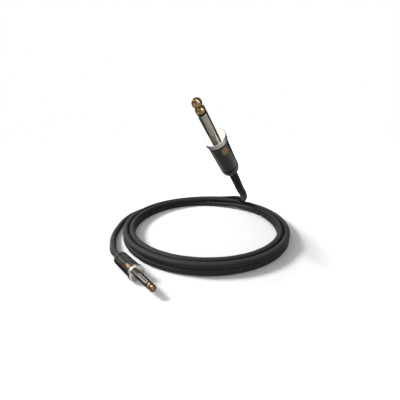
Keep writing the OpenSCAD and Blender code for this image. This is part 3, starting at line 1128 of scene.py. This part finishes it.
@dataclass
class Plug:
    """One phone plug: its contacts, its threaded body, its barrel with an inlay, and the pieces inside.

    Lengths are in metres. Stations run along the plug's axis from the flange's front face towards the
    tip, and those behind the face are negative.
    """

    pose: PlugPose
    sleeve_radius: float = 0.003175
    sleeve_length: float = 0.0211
    ring_radius: float = 0.003
    ring_thickness: float = 0.0015
    shoulder_radius: float = 0.00315
    shoulder_length: float = 0.0018
    cone_length: float = 0.0009
    neck_radius: float = 0.0019
    ball_radius: float = 0.0031
    ball_back: float = 0.003
    ball_arc: float = 36.0
    front_radius: float = 0.0012
    tip_length: float = 0.0088
    rod_radius: float = 0.0011
    tube_wall: float = 0.0006
    fit_gap: float = 0.00003
    flange_radius: float = 0.0079
    flange_thickness: float = 0.0038
    boss_radius: float = 0.006
    boss_length: float = 0.0072
    boss_bevel: float = 0.0004
    thread_pitch: float = 0.001
    thread_depth: float = 0.0005
    thread_relief: float = 0.0008
    lug_thickness: float = 0.0006
    washer_thickness: float = 0.001
    rivet_radius: float = 0.0013
    rivet_height: float = 0.0005
    jacket_radius: float = 0.00365
    core_strands_radius: float = 0.0006
    shield_strands_radius: float = 0.0005
    shield_inset: float = 0.0001
    shield_length: float = 0.0058
    core_gap: float = 0.0007
    strand_pitch: float = 0.006
    outer_wires: int = 6
    lip: float = 0.00012
    flange_lip: float = 0.0003
    steps: int = 96
    ball_steps: int = 20

    STEEL = TurnedMetal(
        "bright_steel", (0.17, 0.153, 0.134), (0.136, 0.122, 0.107), (0.15, 0.15, 0.15), (0.05, 0.12),
    )
    # The flange face is the same steel given a paler colour, a painted reflection that brightens the face and
    # its mirror image in the sleeve.
    LIT_FACE = TurnedMetal(
        "mirror_steel_painted_light", (0.5, 0.48, 0.46), (0.42, 0.4, 0.38), (0.3, 0.3, 0.3), (0.05, 0.1),
        line_depth=0.0000005,
    )
    RIM = TurnedMetal(
        "brushed_steel", (0.26, 0.245, 0.225), (0.18, 0.17, 0.155), (0.15, 0.15, 0.15), (0.25, 0.42),
        line_depth=0.000005,
    )
    GOLD = TurnedMetal(
        "gold_plate", (0.13, 0.087, 0.046), (0.09, 0.058, 0.029), (0.25, 0.17, 0.09), (0.04, 0.1),
    )
    LACQUER = DarkLacquer("black_lacquer", (0.0115, 0.0105, 0.008), (0.022, 0.0205, 0.0165), (0.22, 0.36))
    INLAY = TurnedMetal("gold_inlay", (0.12, 0.08, 0.044), (0.08, 0.053, 0.028), (0.3, 0.2, 0.1), (0.2, 0.35))

    REPLACED = ("tip_ring", "core_wire", "shield_tail")

    @property
    def tip_base(self) -> float:
        """Station of the tip's rear face."""
        return self.sleeve_length + self.ring_thickness

    @property
    def bore_radius(self) -> float:
        """Radius of the hole through the body, round the insulating tube."""
        return self.rod_radius + self.tube_wall + 2 * self.fit_gap

    @property
    def boss_end(self) -> float:
        """Station of the body's rear face."""
        return -self.flange_thickness - self.boss_length

    @property
    def rivet_start(self) -> float:
        """Station of the rear lug's rear face, where the rod is riveted over."""
        return self.boss_end - 2 * self.lug_thickness - self.washer_thickness

    def put_on(self, piece: str, name: str, mesh: Mesh, slot: str, *materials: Material) -> None:
        """Puts a finished mesh on the plug in place of one of the model's nodes.

        Args:
            piece: Name of the node, without its letter.
            name: Name of the new piece, without its letter.
            mesh: The mesh, on its own axis.
            slot: Name of the node's material slot; not used.
            materials: Its materials.
        """
        bmesh.ops.transform(mesh, matrix=self.pose.matrix, verts=mesh.verts)
        made = finished(self.pose.node(name), mesh)
        dress(made, *materials)
        level = made.modifiers.new("level_faces", "WEIGHTED_NORMAL")
        level.keep_sharp = True
        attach(made, ROOT_BODY)
        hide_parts(self.pose.node(piece))
        LOG.info("%s with %d faces", made.name, len(made.data.polygons))

    def build_body(self) -> None:
        """Turns sleeve, flange and boss from one bar and cuts the boss's thread."""
        back, front, sleeve_end = -self.flange_thickness, 0.0, self.sleeve_length
        thread_root = self.boss_radius - self.thread_depth
        relief = back - self.thread_relief
        mesh = bmesh.new()
        outline(mesh, [
            (self.boss_end, self.bore_radius),
            (self.boss_end, thread_root - self.boss_bevel),
            (self.boss_end + self.boss_bevel, thread_root),
            (relief, thread_root),
            (back, thread_root),
            (back, self.flange_radius),
            (front, self.flange_radius),
            (front, self.sleeve_radius),
            (sleeve_end, self.sleeve_radius),
            (sleeve_end, self.bore_radius),
        ], closed=True)
        turn_round(mesh, self.steps)
        round_corners(mesh, {
            (back, self.flange_radius): self.flange_lip,
            (front, self.flange_radius): self.flange_lip,
            (front, self.sleeve_radius): self.lip,
            (sleeve_end, self.sleeve_radius): self.lip,
        })
        for face in mesh.faces:
            middle = face.calc_center_median()
            radius = math.hypot(middle.x, middle.y)
            if back < middle.z < front and radius > self.boss_radius:
                face.material_index = BodySlot.RIM
            elif abs(middle.z - front) < self.lip and radius > self.sleeve_radius + self.lip:
                face.material_index = BodySlot.LIT_FACE
        add_thread(
            mesh, thread_root - 2 * self.fit_gap, self.boss_radius - self.fit_gap,
            self.boss_end + self.thread_pitch, relief - self.thread_pitch / 2, self.thread_pitch,
        )
        materials = [finish.make(self.pose) for finish in (self.STEEL, self.LIT_FACE, self.RIM)]
        self.put_on("plug_body", "turned_body", mesh, "polished_steel", *materials)

    def build_tip(self) -> None:
        """Turns the tip with its shoulder, neck and ball, and the rod behind it."""
        base, rivet = self.tip_base, self.rivet_start
        lip_end = base + self.shoulder_length
        neck = lip_end + self.cone_length
        front = base + self.tip_length
        ball = front - self.ball_back
        neck_latitude = math.degrees(math.acos(self.neck_radius / self.ball_radius))
        blunt = math.radians(self.ball_arc)
        mesh = bmesh.new()
        outline(mesh, [
            (rivet - self.rivet_height, 0.0),
            (rivet - self.rivet_height, self.rivet_radius),
            (rivet, self.rivet_radius),
            (rivet, self.rod_radius),
            (base, self.rod_radius),
            (base, self.shoulder_radius),
            (lip_end, self.shoulder_radius),
            (neck, self.neck_radius),
            (ball - self.ball_radius * math.sin(math.radians(neck_latitude)), self.neck_radius),
        ])
        outline_arc(mesh, ball, self.ball_radius, -neck_latitude, self.ball_arc, self.ball_steps)
        outline(mesh, [
            (ball + self.ball_radius * math.sin(blunt), self.ball_radius * math.cos(blunt)),
            (front, self.front_radius),
            (front, 0.0),
        ])
        turn_round(mesh, self.steps)
        round_corners(mesh, {
            (rivet - self.rivet_height, self.rivet_radius): 2 * self.lip,
            (base, self.shoulder_radius): self.lip,
            (lip_end, self.shoulder_radius): self.lip,
            (neck, self.neck_radius): 2 * self.lip,
            (front, self.front_radius): 4 * self.lip,
        })
        self.put_on("tip_contact", "turned_tip", mesh, "gold_tip", self.GOLD.make(self.pose))

    def build_ring(self, material: Material) -> None:
        """Makes the insulating ring between sleeve and tip.

        Args:
            material: Its finish.
        """
        inside = self.rod_radius + self.fit_gap
        mesh = bmesh.new()
        outline(mesh, [
            (self.sleeve_length, inside),
            (self.sleeve_length, self.ring_radius),
            (self.tip_base, self.ring_radius),
            (self.tip_base, inside),
        ], closed=True)
        turn_round(mesh, self.steps)
        ends = (self.sleeve_length, self.tip_base)
        round_corners(mesh, {(end, self.ring_radius): self.lip / 2 for end in ends})
        self.put_on("tip_ring", "insulating_ring", mesh, "black_insulator", material)

    def build_strands(self, piece: str, name: str, radius: float, aside: float, end: float,
                      material: Material) -> None:
        """Twists bared wires together round a middle one, from the jacket's cut end to the solder.

        Args:
            piece: The node that the bundle replaces, without its letter.
            name: The bundle's name.
            radius: The bundle's radius.
            aside: Distance of the bundle from the plug's axis.
            end: Station of its soldered end.
            material: Its finish.
        """
        wire = radius / 3  # Three wires side by side are as wide as the bundle.
        mesh = bmesh.new()
        add_strand(mesh, wire, 0.0, 0.0, -JACKET_CUT, end, self.strand_pitch)
        for index in range(self.outer_wires):
            around = math.radians(TURN / self.outer_wires * index)
            add_strand(mesh, wire, 2 * wire, around, -JACKET_CUT, end, self.strand_pitch)
        bmesh.ops.translate(mesh, vec=(aside, 0.0, 0.0), verts=mesh.verts)
        bmesh.ops.recalc_face_normals(mesh, faces=mesh.faces)
        self.put_on(piece, name, mesh, "copper_strands", material)

    def dress_nodes(self, shared: MaterialOf) -> None:
        """Gives the plug's nodes that stay their finish.

        Args:
            shared: Materials of the inner pieces, by node name without its letter.
        """
        own = {"barrel": self.LACQUER.make(self.pose), "barrel_inlay": self.INLAY.make(self.pose)}
        for piece, material in (own | shared).items():
            if piece not in self.REPLACED:
                dress(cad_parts[self.pose.node(piece)], material)

    def build(self, shared: MaterialOf) -> None:
        """Builds and dresses the whole plug.

        Args:
            shared: Materials of the pieces that both plugs have, by node name without its letter.
        """
        self.build_body()
        self.build_tip()
        self.build_ring(shared["tip_ring"])
        self.build_strands(
            "core_wire", "core_strands", self.core_strands_radius, 0.0,
            self.rivet_start - self.rivet_height - self.core_gap, shared["core_wire"],
        )
        self.build_strands(
            "shield_tail", "shield_strands", self.shield_strands_radius,
            self.jacket_radius - self.shield_strands_radius - self.shield_inset,
            self.shield_length - JACKET_CUT, shared["shield_tail"],
        )
        self.dress_nodes(shared)


BLACK_RING = Moulded(
    "black_insulator", (0.004, 0.004, 0.004), (0.008, 0.008, 0.008), (0.3, 0.45), 3000.0, 0.00001, shine=0.08,
)
TUBE = Moulded("clear_insulator", (0.78, 0.74, 0.62), (0.7, 0.66, 0.54), (0.2, 0.35), 2000.0, 0.00001)
FIBRE = Moulded("fibre_insulator", (0.42, 0.27, 0.15), (0.3, 0.18, 0.1), (0.6, 0.8), 4000.0, 0.00003)
WHITE_CORE = Moulded("white_insulation", (0.8, 0.8, 0.77), (0.72, 0.72, 0.69), (0.35, 0.5), 1500.0, 0.00001)
LINER = Moulded("liner_plastic", (0.8, 0.78, 0.7), (0.72, 0.7, 0.62), (0.3, 0.45), 1500.0, 0.00001)
LUG = SmallMetal("lug_metal", (0.75, 0.62, 0.38), (0.5, 0.4, 0.24), (0.2, 0.4), 2500.0, 0.00001)
COPPER = SmallMetal("copper_strands", (0.78, 0.4, 0.25), (0.5, 0.24, 0.15), (0.25, 0.4), 4000.0, 0.00003)
SOLDER = SmallMetal("solder", (0.6, 0.6, 0.6), (0.45, 0.45, 0.44), (0.15, 0.35), 900.0, 0.00004)
# Jacket colours: the first is painted shade where the cable is off the floor, and the third a painted top
# light on the coil's upper side.
JACKET = JacketRubber(
    "cable_jacket", (0.0135, 0.013, 0.0118), (0.025, 0.025, 0.0242), (0.049, 0.049, 0.0475),
    (0.06, 0.06, 0.058), (0.4, 0.58),
)
INNER_PIECES = {
    BLACK_RING: ("tip_ring",),
    TUBE: ("tip_tube",),
    FIBRE: ("rear_washer",),
    WHITE_CORE: ("core_insulation",),
    LINER: ("liner",),
    LUG: ("tip_lug", "ground_lug"),
    COPPER: ("core_wire", "shield_tail"),
    SOLDER: ("core_solder", "shield_solder"),
}


def inner_materials() -> MaterialOf:
    """Makes the materials that both plugs' inner pieces share.

    Returns:
        The materials by node name without its letter.
    """
    made = {finish: finish.make() for finish in INNER_PIECES}
    return {piece: made[finish] for finish, pieces in INNER_PIECES.items() for piece in pieces}


def main() -> None:
    """Builds the scene in order and reports each piece."""
    logging.basicConfig(level=logging.INFO, format="%(name)s: %(message)s")
    Studio().build()
    LOG.info("camera, floor and lights")
    cord = Cable().build()
    dress(cord, JACKET.make())
    LOG.info("%s with %d faces", cord.name, len(cord.data.polygons))
    shared = inner_materials()
    for pose in (PLUG_A, PLUG_B):
        Plug(pose).build(shared)
        LOG.info("plug %s", pose.suffix)


if __name__ == "__main__":
    main()
